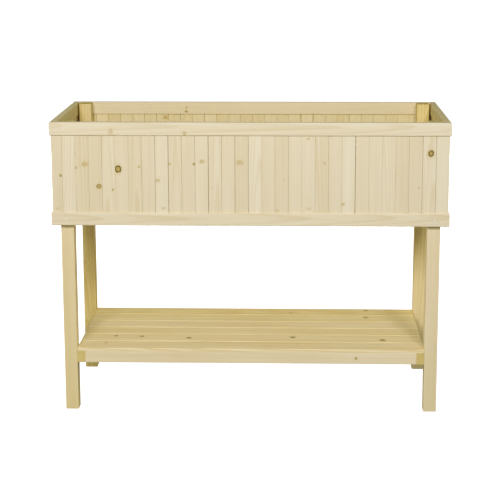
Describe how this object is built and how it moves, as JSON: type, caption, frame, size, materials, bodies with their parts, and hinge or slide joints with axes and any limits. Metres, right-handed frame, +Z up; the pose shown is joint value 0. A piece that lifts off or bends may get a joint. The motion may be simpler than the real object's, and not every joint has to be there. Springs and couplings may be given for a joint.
{
  "type": "raised planter",
  "caption": "Raised wooden planter: an open box of upright boards framed by rails, standing on square legs, with a slatted shelf below.",
  "frame": {"origin": "on the ground, under the centre of the planter", "axes": "+X along the long side, to the right as seen from the front; +Y to the rear; +Z up"},
  "size_m": [1.2, 0.5, 0.905],
  "materials": {
    "leg_wood": "planed, untreated",
    "rail_wood": "planed, untreated",
    "board_wood": "planed, untreated",
    "floor_wood": "sawn, untreated",
    "shelf_wood": "planed, untreated"
  },
  "bodies": {
    "root": {"leg_front_left": "leg_wood", "leg_front_right": "leg_wood", "leg_rear_left": "leg_wood", "leg_rear_right": "leg_wood", "top_rail_front": "rail_wood", "top_rail_right": "rail_wood", "top_rail_rear": "rail_wood", "top_rail_left": "rail_wood", "bottom_rail_front": "rail_wood", "bottom_rail_right": "rail_wood", "bottom_rail_rear": "rail_wood", "bottom_rail_left": "rail_wood", "front_boards_1": "board_wood", "front_boards_2": "board_wood", "front_boards_3": "board_wood", "front_boards_4": "board_wood", "front_boards_5": "board_wood", "front_boards_6": "board_wood", "front_boards_7": "board_wood", "front_boards_8": "board_wood", "front_boards_9": "board_wood", "front_boards_10": "board_wood", "right_boards_1": "board_wood", "right_boards_2": "board_wood", "right_boards_3": "board_wood", "right_boards_4": "board_wood", "rear_boards_1": "board_wood", "rear_boards_2": "board_wood", "rear_boards_3": "board_wood", "rear_boards_4": "board_wood", "rear_boards_5": "board_wood", "rear_boards_6": "board_wood", "rear_boards_7": "board_wood", "rear_boards_8": "board_wood", "rear_boards_9": "board_wood", "rear_boards_10": "board_wood", "left_boards_1": "board_wood", "left_boards_2": "board_wood", "left_boards_3": "board_wood", "left_boards_4": "board_wood", "floor_batten_left": "floor_wood", "floor_batten_middle": "floor_wood", "floor_batten_right": "floor_wood", "floor_board_1": "floor_wood", "floor_board_2": "floor_wood", "floor_board_3": "floor_wood", "floor_board_4": "floor_wood", "floor_board_5": "floor_wood", "shelf_bearer_left": "shelf_wood", "shelf_bearer_middle": "shelf_wood", "shelf_bearer_right": "shelf_wood", "shelf_apron_front": "shelf_wood", "shelf_apron_rear": "shelf_wood", "shelf_slat_1": "shelf_wood", "shelf_slat_2": "shelf_wood", "shelf_slat_3": "shelf_wood", "shelf_slat_4": "shelf_wood", "shelf_slat_5": "shelf_wood", "shelf_slat_6": "shelf_wood"}
  },
  "joints": []
}
